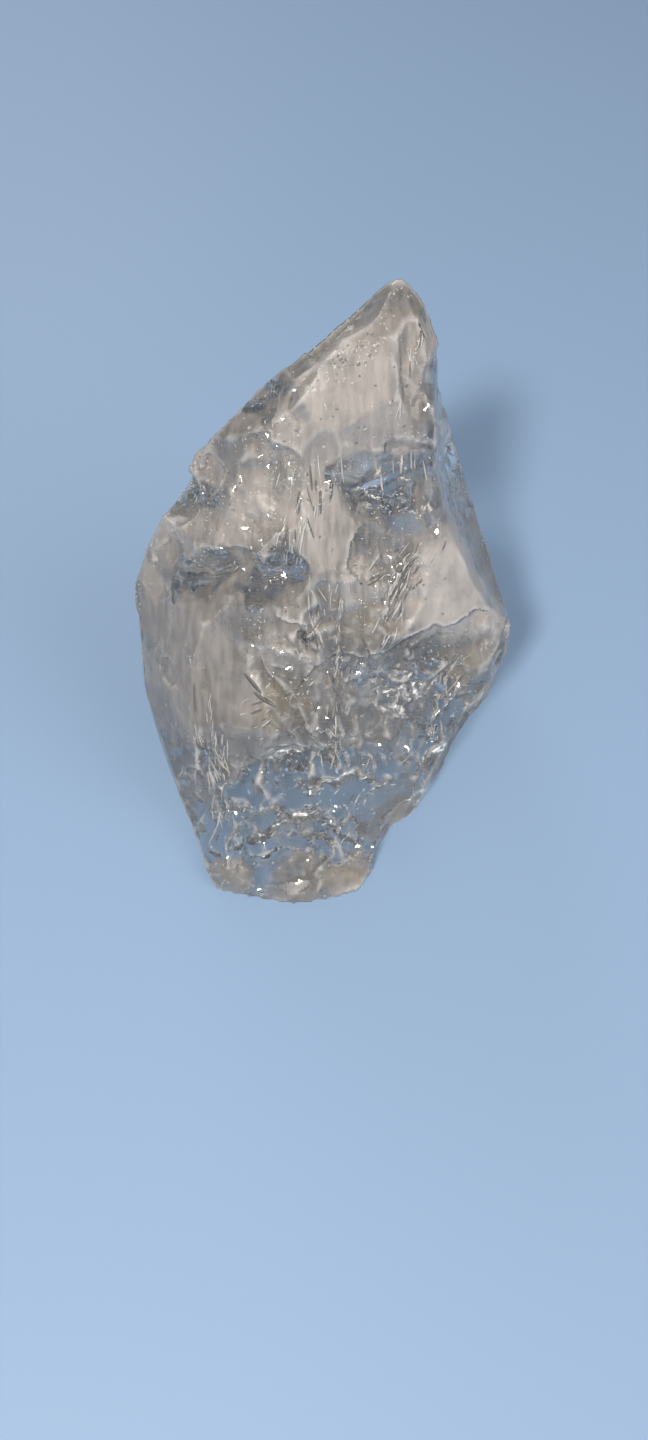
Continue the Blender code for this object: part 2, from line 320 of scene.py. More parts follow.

# Dark slits: along the crease and the slit groove they are painted shade, elsewhere dark marks. How deep
# they lie, how far they reach from their middle, and each one's ends and width.
SLIT_DEPTH = 0.08
SLIT_SHARE = 0.6
SHADED_SLITS = [
    ((-13.2, 37.6), (-10.6, 35.2), 0.34), ((-11.4, 36.0), (-8.3, 33.2), 0.42),
    ((-6.8, 30.6), (-5.5, 28.6), 0.32), ((-5.2, 45.6), (-2.2, 42.6), 0.34),
    ((-25.0, 43.0), (-24.0, 41.4), 0.55), ((0.6, 37.0), (1.2, 33.0), 0.22),
    ((-13.5, 26.0), (-12.5, 23.5), 0.25), ((5.2, 44.0), (6.4, 41.0), 0.22),
    ((17.8, 33.0), (19.6, 31.8), 0.35), ((12.6, 37.4), (15.0, 36.0), 0.35),
    ((9.8, 34.0), (11.6, 33.0), 0.28), ((-17.5, 21.0), (-16.9, 17.0), 0.22),
]

# How much each tone lightens the milk, and how strong a golden stain is.
TONES = [(0.31, PALE), (0.32, PAINTED_LIT_FACE), (-0.22, SMOKY)]
GOLD_SHARE = 0.45
# How far the front slopes back as it rises, and the least depth of a skin.
FRONT_SLOPE = 0.56
VEIL_LEAST = 0.2
# How strongly and how often a deeper skin is relaxed, more so the deeper it lies.
RELAX_FACTOR = 0.8
RELAX_ROUNDS = 4
# Milky skins, from the outside in: depth under the surface, how far that wavers and fineness, in
# millimetres, then how milky it is and how far a window clears it. No fineness: the stone's own skin.
VEILS = [(0.15, 0.0, None, 1.0, 0.9), (1.6, 0.6, 1.0, 0.8, 0.5), (4.2, 1.6, 1.4, 0.75, 0.15)]

# Patterns of the finishes, per metre, and how the streaks lean, in degrees, and stretch.
FROST_SCALES = {"Patch Scale": 160.0, "Streak Scale": 900.0}
MILK_SCALES = {"Patch Scale": 330.0, "Streak Scale": 1100.0}
STREAK_LEAN = 6
STREAK_SCALE = (1.0, 0.3, 0.10)
# The frost's mask and the roughness it gives, and how strongly and how high its fibres stand out.
FROST_SPAN = (0.5, 1.5)
FROST_ROUGHNESS = (0.02, 0.45)
FIBRE_STRENGTH = 0.25
FIBRE_HEIGHT = 0.0003
# The milk: its mask, how thick it gets, the same for the crisp edges, and what its fibres do to its tone.
MILK_ROUGHNESS = 0.9
MILK_SPAN = (0.55, 1.4)
MILK_MOST = 0.9
EDGE_SPAN = (0.3, 1.0)
EDGE_MOST = 0.75
EDGE_TONE_SPAN = (0.2, 1.0)
FIBRE_SPAN = (0.35, 0.65)
FIBRE_TONES = (-0.12, 0.12)


class QuartzShape(bpy.types.PropertyGroup):
    voxel: FloatProperty(
        name="Fineness", description="Edge length of the carved surface", default=0.0005, unit="LENGTH"
    )
    chips: IntProperty(name="Chips", description="Tries at small shell-shaped chips", default=640)
    chip_depth: FloatProperty(
        name="Chip depth", description="How deep the chips bite", default=0.00045, unit="LENGTH"
    )
    flashes: IntProperty(
        name="Flashes", description="Tries at tiny spots that mirror the lamp", default=360
    )
    ring_height: FloatProperty(
        name="Ring height", description="Height of the rings inside a break", default=0.00005, unit="LENGTH"
    )
    crisp_angle: FloatProperty(
        name="Crisp angle",
        description="Edges bent further than this stay crisp",
        default=math.radians(20),
        subtype="ANGLE",
    )


class QuartzGlass(bpy.types.PropertyGroup):
    ior: FloatProperty(name="IOR", description="Refractive index of quartz", default=1.544)
    tint: FloatVectorProperty(
        name="Tint",
        description="What the stone lets through, deep down",
        default=(0.79, 0.785, 0.765),
        subtype="COLOR",
    )
    passing: FloatVectorProperty(
        name="Passing light",
        description="Share of lamp light that one face lets through",
        default=(0.78, 0.78, 0.78),
        subtype="COLOR",
    )
    density: FloatProperty(name="Absorption", description="Absorption density, per metre", default=14.0)


class QuartzInside(bpy.types.PropertyGroup):
    milk: FloatVectorProperty(
        name="Milk", description="Colour of the milky veils", default=(0.82, 0.745, 0.68), subtype="COLOR"
    )
    smoke: FloatVectorProperty(
        name="Smoke",
        description="Colour of the thinner, greyer veils",
        default=(0.28, 0.268, 0.256),
        subtype="COLOR",
    )
    stain: FloatVectorProperty(
        name="Stain",
        description="Colour of the faint golden stains",
        default=(0.50, 0.43, 0.31),
        subtype="COLOR",
    )
    edge_milk: FloatVectorProperty(
        name="Edge milk",
        description="Colour of the bruised, crisp edges",
        default=(0.95, 0.91, 0.86),
        subtype="COLOR",
    )
    sparkles: IntProperty(name="Sparkles", description="Tiny flat hollows that glint", default=300)
    # White specks are painted glints; the rest are dark specks.
    specks: IntProperty(name="Specks", description="Tiny white or dark specks", default=2000)


class QuartzStage(bpy.types.PropertyGroup):
    floor: FloatVectorProperty(
        name="Table", description="Colour of the table", default=(0.33, 0.48, 0.70), subtype="COLOR"
    )


# --- Shape helpers ------------------------------------------------------------------------------


def smooth(x):
    """0 up to 0, 1 from 1 on, and an S-shaped rise between."""
    x = np.clip(x, 0.0, 1.0)
    return x * x * (3.0 - 2.0 * x)


def rise(x, start, span):
    """0 up to start, then rising to 1 over span."""
    return smooth((x - start) / span)


def fall(x, end, span):
    """1 at first, then falling over span to 0 at end."""
    return smooth((end - x) / span)


def unit(rows):
    """Each row of an array as a unit vector."""
    return rows / np.linalg.norm(rows, axis=1)[:, None]


def seed_shift(seed, steps):
    """A stretch of the noise that only this seed reads."""
    return Vector([seed * step for step in steps])


def swell(points, size, seed):
    """Smooth noise from -1 to 1 at points in millimetres, with its swells about size apart."""
    shift = seed_shift(seed, (7.31, 3.17, 5.73))
    return np.array([noise.noise(Vector(p) / size + shift) for p in points])


def wander(points, size, reach, seed):
    """The points moved about by up to reach, so that what is drawn round them gets a ragged outline."""
    shift = seed_shift(seed, (5.13, 9.71, 2.37))
    return points + reach * np.array([noise.noise_vector(Vector(p) / size + shift) for p in points])


def on_front(tree, across, up):
    """The point of the stone's front at (across, up), in millimetres, and its normal.

    A place just past the outline gives a point a little inside it.
    """
    for share in DRAWN_IN:
        start = Vector((across * share * MM, LOOK_FROM, up * share * MM))
        hit, normal, _, _ = tree.ray_cast(start, LOOK_IN)
        if hit:
            return np.array(hit) / MM, np.array(normal)
    hit, normal, _, _ = tree.find_nearest(Vector((across * MM, 0.0, up * MM)))
    return np.array(hit) / MM, np.array(normal)


def front_mask(points, tree, places, swelling=1.0):
    """1 round each (place, radius) on the front and 0 away from it. Swelling widens the radii."""
    mask = np.zeros(len(points))
    for place, radius in places:
        middle = on_front(tree, *place)[0]
        distance = np.linalg.norm(points - middle, axis=1) / (radius * swelling)
        mask = np.maximum(mask, fall(distance, end=1.3, span=0.6))
    return mask


def seen_mask(points, tree, places):
    """1 along each line of sight through a (place, radius) on the front, however deep, and 0 off it."""
    eye = np.array(EYE) / MM
    mask = np.zeros(len(points))
    for place, radius in places:
        way = on_front(tree, *place)[0] - eye
        way /= np.linalg.norm(way)
        offset = points - eye
        distance = np.linalg.norm(offset - np.outer(offset @ way, way), axis=1) / radius
        mask = np.maximum(mask, fall(distance, end=1.2, span=0.4))
    return mask


def facing_eye(points, normals):
    """How squarely the surface faces towards the eye or away from it: 1 at most, 0 at the outline."""
    sight = unit(points - np.array(EYE) / MM)
    return np.abs((normals * sight).sum(axis=1))


def facing_of(azimuth, elevation):
    """The way faced at an azimuth and elevation in degrees, from the front."""
    turn, lift = math.radians(azimuth), math.radians(elevation)
    return Vector((math.sin(turn) * math.cos(lift), -math.cos(turn) * math.cos(lift), math.sin(lift)))


def only(obj):
    """Selects obj alone and makes it active."""
    bpy.ops.object.select_all(action="DESELECT")
    obj.select_set(True)
    bpy.context.view_layer.objects.active = obj


def shade_broken(stone):
    """Shades the stone smooth, with its sharper edges left crisp."""
    only(stone)
    bpy.ops.object.shade_smooth_by_angle(angle=bpy.context.scene.quartz_shape.crisp_angle)


def points_of(mesh):
    """The mesh's points in millimetres, one a row."""
    co = np.zeros(len(mesh.vertices) * 3)
    mesh.vertices.foreach_get("co", co)
    return co.reshape(-1, 3) / MM


def set_points(mesh, points):
    """Moves the mesh's points to these, which are in millimetres."""
    mesh.vertices.foreach_set("co", (points * MM).ravel())
    mesh.update()


def normals_of(mesh):
    """The mesh's normals at its points, one a row."""
    normals = np.zeros(len(mesh.vertices) * 3)
    mesh.vertices.foreach_get("normal", normals)
    return normals.reshape(-1, 3)


def edges_of(mesh):
    """The two points of each edge of the mesh, one edge a row."""
    edges = np.zeros(len(mesh.edges) * 2, dtype=np.int64)
    mesh.edges.foreach_get("vertices", edges)
    return edges.reshape(-1, 2)


def even_out(values, edges, rounds):
    """Averages each point's values with its neighbours', rounds times."""
    count = 1 + np.bincount(edges.ravel(), minlength=len(values))
    for _ in range(rounds):
        total = values.copy()
        np.add.at(total, edges[:, 0], values[edges[:, 1]])
        np.add.at(total, edges[:, 1], values[edges[:, 0]])
        values = total / count[:, None]
    return values


def mark(mesh, name, values):
    """Keeps a value at each point of mesh, under this name, for its material."""
    if name in mesh.attributes:
        mesh.attributes.remove(mesh.attributes[name])
    layer = mesh.attributes.new(name, "FLOAT", "POINT")
    layer.data.foreach_set("value", np.broadcast_to(values, len(mesh.vertices)).astype(np.float32))


# --- The stone ----------------------------------------------------------------------------------


def in_order(mesh):
    """A copy of a mesh sorted by place, because Blender may number points and faces anew in each run."""
    points = points_of(mesh)
    order = np.lexsort(points.T)
    rank = np.empty_like(order)
    rank[order] = np.arange(len(order))
    rank = rank.tolist()
    faces = []
    for polygon in mesh.polygons:
        corners = [rank[corner] for corner in polygon.vertices]
        first = corners.index(min(corners))
        faces.append(corners[first:] + corners[:first])
    ordered = bpy.data.meshes.new(mesh.name)
    ordered.from_pydata((points[order] * MM).tolist(), [], sorted(faces))
    return ordered


def fine_copy(voxel):
    """A closed copy of the CAD chunk with an even, fine surface."""
    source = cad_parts[CHUNK_NODE]
    stone = bpy.data.objects.new(CHUNK, source.data.copy())
    bpy.context.scene.collection.objects.link(stone)
    stone.data.materials.clear()
    only(stone)
    bpy.ops.object.mode_set(mode="EDIT")
    bpy.ops.mesh.select_all(action="SELECT")
    bpy.ops.mesh.remove_doubles(threshold=DOUBLES_APART)
    bpy.ops.object.mode_set(mode="OBJECT")
    remesh = stone.modifiers.new("even", "REMESH")
    remesh.mode = "VOXEL"
    remesh.voxel_size = voxel
    bpy.ops.object.modifier_apply(modifier=remesh.name)
    stone.data = in_order(stone.data)
    return stone


def carve(points, ragged, normals, cut, ring_height, rng):
    """Pushes the points inside a ball out to its wall: a shell-shaped break with rings round its strike."""
    at, outward, radius, depth = cut
    reach = math.sqrt(2.0 * radius * depth)
    near = np.flatnonzero(np.linalg.norm(ragged - at, axis=1) < CHIP_SPREAD * reach)
    near = near[normals[near] @ outward > CHIP_FACING]
    centre = at + outward * (radius - depth)
    offset = ragged[near] - centre
    distance = np.linalg.norm(offset, axis=1)
    near, offset, distance = (a[distance < radius] for a in (near, offset, distance))
    if not len(near):
        return
    way = offset / distance[:, None]
    push = np.minimum(radius - distance, CHIP_PUSH * depth)
    side = np.cross(outward, rng.normal(size=3))
    strike = at + side / np.linalg.norm(side) * reach
    spread = np.linalg.norm(points[near] - strike, axis=1)
    ring_gap = 0.8 + 0.25 * reach
    rings = 0.5 + 0.5 * np.sin(math.tau * spread / ring_gap + rng.uniform(0, 6))
    move = way * (push + ring_height * rings * smooth(push / depth))[:, None]
    points[near] += move
    ragged[near] += move


def strike_chips(points, ragged, normals, likely, settings):
    """Tries shell-shaped chips all over, and keeps those where the stone is likely to be chipped."""
    for number in range(settings.chips):
        rng = np.random.default_rng((SEED, number))
        index = rng.integers(len(points))
        if rng.random() > likely[index]:
            continue
        reach = CHIP_LEAST + CHIP_MORE * rng.random() ** 2
        depth = settings.chip_depth / MM * rng.uniform(*CHIP_DEPTHS) * (reach / CHIP_USUAL)
        outward = normals[index] + CHIP_TILT * rng.normal(size=3)
        outward /= np.linalg.norm(outward)
        cut = (points[index].copy(), outward, reach * reach / (2.0 * depth), depth)
        carve(points, ragged, normals, cut, settings.ring_height / MM, rng)


def beside(points, line):
    """How far points are from a line, on which side of it (1 for the left), and how far along it."""
    best = np.full(len(points), np.inf)
    side = np.zeros(len(points))
    share = np.zeros(len(points))
    for number, (start, end) in enumerate(zip(line, line[1:])):
        way = end - start
        along = np.clip((points - start) @ way / (way @ way), 0.0, 1.0)
        offset = points - start - along[:, None] * way
        distance = np.linalg.norm(offset, axis=1)
        leftward = np.cross(way, np.array(LOOK_IN))
        nearer = distance < best
        best[nearer] = distance[nearer]
        side[nearer] = np.sign(offset[nearer] @ leftward)
        share[nearer] = (number + along[nearer]) / (len(line) - 1)
    return best, side, share


def draw_marks(points, ragged, normals, tree):
    """Bites the named grooves, ridges and ledges into the front."""
    for marks, shape in ((GROOVES, "groove"), (RIDGES, "ridge"), (LEDGES, "ledge")):
        for line, width, depth in marks.values():
            drawn = [on_front(tree, *place)[0] for place in line]
            distance, side, share = beside(ragged, drawn)
            fade = smooth(MARK_FADE * share) * smooth(MARK_FADE * (1.0 - share))
            if shape == "groove":
                bite = smooth(1.0 - distance / width) ** GROOVE_FLARE
            elif shape == "ridge":
                bite = smooth(1.3 - distance / width) * (1.0 - np.exp(-((distance / RIDGE_CREST) ** 2)))
            else:
                bite = smooth(1.0 - distance / width) * (side * depth > 0)
            points -= normals * (bite * fade * abs(depth))[:, None]


def cut_panes(points, ragged, tree):
    """Slices the flat breaks off the front."""
    for place, facing, radius, depth in PANES:
        middle = on_front(tree, *place)[0]
        outward = np.array(facing_of(*facing))
        away = np.linalg.norm(ragged - middle, axis=1) / radius
        above = (points - middle) @ outward + 0.5 * depth
        slice_off = np.clip(above, 0.0, 1.5 * depth) * fall(away, end=1.2, span=0.2)
        points -= outward * slice_off[:, None]


def facets(points, size, seed):
    """Height in millimetres of a surface broken into flat, tilted pieces about size across."""
    shift = seed_shift(seed, (1.9, 4.3, 2.7))
    heights = np.zeros(len(points))
    for index, point in enumerate(points):
        spot = Vector(point) / size + shift
        middle = noise.voronoi(spot)[1][0]
        lean = noise.noise_vector(middle * FACET_LEANS)
        heights[index] = (spot - middle).dot(lean) * size
    return heights


def facet_depth(start, rough):
    """How deep each point lies below the skin where that breaks into flat, tilted pieces."""
    upright = wander(start, size=4.0, reach=0.6, seed=9) * FACET_SQUEEZE
    broken = facets(upright, 4.2, 1) + 0.8 * facets(upright, 1.7, 2)
    broken *= 0.10 + 0.90 * rough
    return 0.35 * (1.2 - np.clip(broken, -1.2, 1.2)) * (0.2 + 0.8 * rough)


def grain_depth(start, zones):
    """How deep each point lies below the skin in the fine grain: long upright streaks, and crumbs."""
    along = start.copy()
    along[:, 1:] *= STREAK_SQUEEZE
    streaks = np.abs(swell(along, 1.3, 11)) + 0.35 * np.abs(swell(along, 0.6, 13))
    crumbs = np.abs(swell(start, 2.2, 17)) + 0.5 * np.abs(swell(start, 1.1, 23))
    grain = (0.04 + 0.24 * zones["streaky"]) * streaks + (0.02 + 0.08 * zones["rough"]) * crumbs
    return grain * (1.0 - 0.75 * zones["clear"])


def roughen(points, normals, zones, settings, tree):
    """Breaks the smooth copy up: marks, ledges, chips, facets, flat breaks and a fine grain."""
    start = points.copy()
    ragged = wander(points, size=3.0, reach=1.0, seed=3)
    draw_marks(points, wander(start, size=2.5, reach=0.9, seed=5), normals, tree)
    # Chips fall anywhere but on the foot, and mostly where the stone is rough.
    likely = (0.12 + 0.88 * zones["rough"]) * (points[:, 2] > 1.0)
    strike_chips(points, ragged, normals, likely, settings)
    points -= normals * facet_depth(start, zones["rough"])[:, None]
    cut_panes(points, wander(start, size=2.2, reach=0.9, seed=29), tree)
    points -= normals * grain_depth(start, zones)[:, None]
    return points


def room_to_carve(mesh, points, normals, tree):
    """1 where the stone can be carved fully.

    It falls to 0 at the foot and the tip and where the stone is thin, and to a little at sharp edges
    and at the outline.
    """
    top = CAD_BOX[1][2] / MM
    ends = rise(points[:, 2], start=0.2, span=1.6) * fall(points[:, 2], end=top, span=9.0)
    edges = edges_of(mesh)
    around = unit(even_out(normals, edges, AROUND_ROUNDS))
    even = rise((normals * around).sum(axis=1), start=0.82, span=0.14)
    even = even_out(even[:, None], edges, EDGE_ROUNDS)[:, 0]
    thick = np.zeros(len(points))
    for index, (point, normal) in enumerate(zip(points, normals)):
        inward = Vector(-normal)
        _, _, _, distance = tree.ray_cast(Vector(point) * MM + inward * RAY_CLEARANCE, inward)
        thick[index] = (distance or 0.0) / MM
    room = ends * (0.1 + 0.9 * even) * smooth(thick / FULL_THICKNESS)
    return room * (0.25 + 0.75 * smooth(facing_eye(points, normals) / 0.45))


def bend_flashes(points, tree, count):
    """Bends tiny spots of the front to mirror the key lamp to the eye. Gives the points it moved."""
    places = GLINTS + ROUGH
    moved = []
    for number in range(count):
        rng = np.random.default_rng((SEED, 1, number))
        place, reach = places[rng.integers(len(places))]
        scatter = FLASH_SCATTER * reach + FLASH_MORE_SCATTER
        surface, normal = on_front(tree, *(np.array(place) + rng.normal(size=2) * scatter))
        spot = Vector(surface) * MM
        facing = (EYE - spot).normalized() + (LAMPS["key"][0] - spot).normalized()
        facing = np.array(facing.normalized()) + FLASH_STRAY * rng.normal(size=3)
        facing /= np.linalg.norm(facing)
        radius = rng.uniform(*FLASH_RADII)
        if normal @ facing < FLASH_FACING:
            continue
        middle = points[np.argmin(np.linalg.norm(points - surface, axis=1))]
        away = np.linalg.norm(points - middle, axis=1) / radius
        near = np.flatnonzero(away < FLASH_RIM)
        bow = (away[near] * radius) ** 2 / (2.0 * FLASH_BEND)
        height = (points[near] - points[near].mean(axis=0)) @ facing + bow
        points[near] -= facing * (height * fall(away[near], end=FLASH_RIM, span=0.25))[:, None]
        moved.append(near)
    return np.concatenate(moved)


def keep_in_box(points, start):
    """Keeps the base flat and the stone inside its CAD box."""
    base = start[:, 2] < FLAT_FOOT
    points[base] = start[base]
    low, high = (np.array(c) / MM for c in CAD_BOX)
    np.clip(points, low, high, out=points)


def edge_mask(mesh):
    """1 on the crisp outer edges of the breaks, 0 on their faces and in their corners."""
    points, normals, edges = points_of(mesh), normals_of(mesh), edges_of(mesh)
    bulge = ((points - even_out(points, edges, EDGE_ROUNDS)) * normals).sum(axis=1)
    return even_out(smooth(bulge[:, None] / CRISP_BULGE), edges, 1)[:, 0]


def fibrous_share(streaky, calm):
    """How much of the finish runs in streaks and not in patches."""
    return (0.12 + 0.6 * streaky) * (1.0 - 0.6 * calm)


def zones_of(start, ragged, tree):
    """Where the stone is clear, milky, calm, rough and streaky, from 0 to 1 at each point."""
    zones = {name: front_mask(ragged, tree, places) for name, places in ZONES.items()}
    zones["clear"] = seen_mask(ragged, tree, WINDOWS)
    zones["milky"] *= 1.0 - 0.8 * zones["clear"]
    # The back is a little rough all over.
    zones["rough"] = np.maximum(zones["rough"], 0.3 * rise(start[:, 1], start=8.0, span=10.0))
    zones["rough"] *= (1.0 - 0.85 * zones["calm"]) * (1.0 - 0.8 * zones["clear"])
    return zones


def make_stone(settings):
    """The carved stone, with what its finish needs marked at its points."""
    stone = fine_copy(settings.voxel)
    mesh = stone.data
    start = points_of(mesh)
    tree = BVHTree.FromObject(stone, bpy.context.evaluated_depsgraph_get())
    ragged = wander(start, size=5.0, reach=2.2, seed=ZONE_SEED)
    zones = zones_of(start, ragged, tree)
    behind = 0.1 * rise(start[:, 1], start=4.0, span=10.0)
    frost = 0.15 + 0.75 * zones["milky"] + behind - 0.6 * zones["clear"]
    normals = normals_of(mesh)
    room = room_to_carve(mesh, start, normals, tree)
    points = roughen(start.copy(), normals, zones, settings, tree)
    points = start + (points - start) * room[:, None]
    glassy = POLISH * front_mask(ragged, tree, GLASSY)[:, None]
    points += (even_out(points, edges_of(mesh), POLISH_ROUNDS) - points) * glassy
    flashing = bend_flashes(points, tree, settings.flashes)
    frost[flashing] = FLASH_FROST
    keep_in_box(points, start)
    set_points(mesh, points)
    mark(mesh, "frost", frost)
    mark(mesh, "fibrous", fibrous_share(zones["streaky"], zones["calm"]))
    mark(mesh, "edge", edge_mask(mesh))
    shade_broken(stone)
    return stone


# --- Materials ----------------------------------------------------------------------------------


def new_material(name):
    """A material of this name, with its node tree and its Principled BSDF."""
    material = bpy.data.materials.new(name)
    material.use_nodes = True
    tree = material.node_tree
    return material, tree, tree.nodes["Principled BSDF"]


def streak_group():
    """Patches mixed with near-upright streaks, as a mask that Amount raises, and the streaks alone."""
    group = bpy.data.node_groups.new(STREAK_GROUP, "ShaderNodeTree")
    face = group.interface
    usual = {**FROST_SCALES, "Streak Share": 0.4, "Amount": 0.0}
    for name, value in usual.items():
        face.new_socket(name=name, in_out="INPUT", socket_type="NodeSocketFloat").default_value = value
    for name in ("Mask", "Streaks"):
        face.new_socket(name=name, in_out="OUTPUT", socket_type="NodeSocketFloat")
    nodes, links = group.nodes, group.links
    into, out = nodes.new("NodeGroupInput"), nodes.new("NodeGroupOutput")
    where = nodes.new("ShaderNodeTexCoord")
    patches = nodes.new("ShaderNodeTexNoise")
    patches.inputs["Detail"].default_value = 5.0
    patches.inputs["Roughness"].default_value = 0.62
    links.new(where.outputs["Object"], patches.inputs["Vector"])
    links.new(into.outputs["Patch Scale"], patches.inputs["Scale"])
    upright = nodes.new("ShaderNodeMapping")
    upright.inputs["Rotation"].default_value = (0.0, math.radians(STREAK_LEAN), 0.0)
    upright.inputs["Scale"].default_value = STREAK_SCALE
    links.new(where.outputs["Object"], upright.inputs["Vector"])
    streaks = nodes.new("ShaderNodeTexNoise")
    streaks.inputs["Detail"].default_value = 2.0
    links.new(upright.outputs["Vector"], streaks.inputs["Vector"])
    links.new(into.outputs["Streak Scale"], streaks.inputs["Scale"])
    both = nodes.new("ShaderNodeMix")
    links.new(into.outputs["Streak Share"], both.inputs["Factor"])
    links.new(patches.outputs["Fac"], both.inputs["A"])
    links.new(streaks.outputs["Fac"], both.inputs["B"])
    total = nodes.new("ShaderNodeMath")
    total.operation = "ADD"
    links.new(both.outputs["Result"], total.inputs[0])
    links.new(into.outputs["Amount"], total.inputs[1])
    links.new(total.outputs[0], out.inputs["Mask"])
    links.new(streaks.outputs["Fac"], out.inputs["Streaks"])
    return group


def marked(tree, name):
    """The values that mark() kept on the piece under this name."""
    attribute = tree.nodes.new("ShaderNodeAttribute")
    attribute.attribute_name = name
    return attribute.outputs["Fac"]


def streaks_in(tree, group, amount, values):
    """Puts the streak group in a material, led by the marks named amount. Gives its two outputs."""
    node = tree.nodes.new("ShaderNodeGroup")
    node.node_tree = group
    for name, value in values.items():
        node.inputs[name].default_value = value
    tree.links.new(marked(tree, amount), node.inputs["Amount"])
    tree.links.new(marked(tree, "fibrous"), node.inputs["Streak Share"])
    return node.outputs["Mask"], node.outputs["Streaks"]


def ranged(tree, value, span, outcome):
    """Maps value from span to outcome, both as (low, high), and keeps it inside outcome."""
    node = tree.nodes.new("ShaderNodeMapRange")
    for name, number in zip(("From Min", "From Max", "To Min", "To Max"), (*span, *outcome)):
        node.inputs[name].default_value = number
    tree.links.new(value, node.inputs["Value"])
    return node.outputs[0]


def quartz_material(glass, group):
    """Clear quartz, frosted in patches.

    Lamplight and diffuse light pass it unbent, to reach what is sealed inside.
    """
    material, tree, shader = new_material(SLOT)
    nodes, links = tree.nodes, tree.links
    shader.inputs["Base Color"].default_value = (1.0, 1.0, 1.0, 1.0)
    shader.inputs["Transmission Weight"].default_value = 1.0
    shader.inputs["Metallic"].default_value = 0.0
    shader.inputs["IOR"].default_value = glass.ior
    frost, fibres = streaks_in(tree, group, "frost", FROST_SCALES)
    links.new(ranged(tree, frost, FROST_SPAN, FROST_ROUGHNESS), shader.inputs["Roughness"])
    bump = nodes.new("ShaderNodeBump")
    bump.inputs["Strength"].default_value = FIBRE_STRENGTH
    bump.inputs["Distance"].default_value = FIBRE_HEIGHT
    links.new(fibres, bump.inputs["Height"])
    links.new(bump.outputs["Normal"], shader.inputs["Normal"])
    surface = shader.outputs["BSDF"]
    path = nodes.new("ShaderNodeLightPath")
    for kind in ("Is Diffuse Ray", "Is Shadow Ray"):
        straight = nodes.new("ShaderNodeBsdfTransparent")
        straight.inputs["Color"].default_value = (*glass.passing, 1.0)
        mix = nodes.new("ShaderNodeMixShader")
        links.new(path.outputs[kind], mix.inputs["Fac"])
        links.new(surface, mix.inputs[1])
        links.new(straight.outputs["BSDF"], mix.inputs[2])
        surface = mix.outputs["Shader"]
    links.new(surface, nodes["Material Output"].inputs["Surface"])
    absorb = nodes.new("ShaderNodeVolumeAbsorption")
    absorb.inputs["Color"].default_value = (*glass.tint, 1.0)
    absorb.inputs["Density"].default_value = glass.density
    links.new(absorb.outputs["Volume"], nodes["Material Output"].inputs["Volume"])
    return material


def veil_material(inside, group):
    """Milk in quartz: a warm haze that is thick in some places and gone in others."""
    material, tree, shader = new_material(MILK_FINISH)
    nodes, links = tree.nodes, tree.links
    shader.inputs["Roughness"].default_value = MILK_ROUGHNESS
    shader.inputs["Specular IOR Level"].default_value = 0.0
    haze, fibres = streaks_in(tree, group, "milky", MILK_SCALES)
    edge = marked(tree, "edge")
    solid = nodes.new("ShaderNodeMath")
    solid.operation = "MAXIMUM"
    links.new(ranged(tree, haze, MILK_SPAN, (0.0, MILK_MOST)), solid.inputs[0])
    links.new(ranged(tree, edge, EDGE_SPAN, (0.0, EDGE_MOST)), solid.inputs[1])
    links.new(solid.outputs[0], shader.inputs["Alpha"])
    # The pale mark sets the milk's tone, with painted highlight on the outline's rim and on the right face.
    body = nodes.new("ShaderNodeMath")
    body.operation = "ADD"
    links.new(marked(tree, "pale"), body.inputs[0])
    links.new(ranged(tree, fibres, FIBRE_SPAN, FIBRE_TONES), body.inputs[1])
    colour = None
    for factor, tint in (
        (body.outputs[0], inside.milk),
        (marked(tree, "golden"), inside.stain),
        (ranged(tree, edge, EDGE_TONE_SPAN, (0.0, 1.0)), inside.edge_milk),
    ):
        tone = nodes.new("ShaderNodeMix")
        tone.data_type = "RGBA"
        tone.inputs["A"].default_value = (*inside.smoke, 1.0)
        tone.inputs["B"].default_value = (*tint, 1.0)
        if colour:
            links.new(colour, tone.inputs["A"])
        links.new(factor, tone.inputs["Factor"])
        colour = tone.outputs["Result"]
    links.new(colour, shader.inputs["Base Color"])
    return material


# --- Inside -------------------------------------------------------------------------------------


def depth_at(tree, point):
    """How many millimetres point lies under the surface, and the nearest place there with its normal."""
    spot = Vector(point) * MM
    nearest, normal, _, _ = tree.find_nearest(spot)
    return (nearest - spot).dot(normal) / MM, nearest, normal


def sink(tree, points, normals, depth, least):
    """Moves points in by depth, and brings any that come out, or too near the surface, back under it."""
    points = points - normals * depth[:, None]
    for index, point in enumerate(points):
        under, nearest, normal = depth_at(tree, point)
        if under < least:
            points[index] = np.array(nearest) / MM - least * np.array(normal)
    points[:, 2] = np.maximum(points[:, 2], 0.5 * least)
    return points


def veil_sheet(stone, number, fineness):
    """The sheet that a milky skin is made from: the stone's own skin, or a relaxed copy of the chunk."""
    if fineness is None:
        sheet = bpy.data.objects.new("veil", stone.data.copy())
        bpy.context.scene.collection.objects.link(sheet)
        sheet.data.materials.clear()
    else:
        sheet = fine_copy(fineness * MM)
        relax = sheet.modifiers.new("relax", "SMOOTH")
        relax.factor = RELAX_FACTOR
        relax.iterations = RELAX_ROUNDS * (1 + number)
        bpy.ops.object.modifier_apply(modifier=relax.name)
    sheet.name = f"milky_veil_{number + 1}"
    return sheet


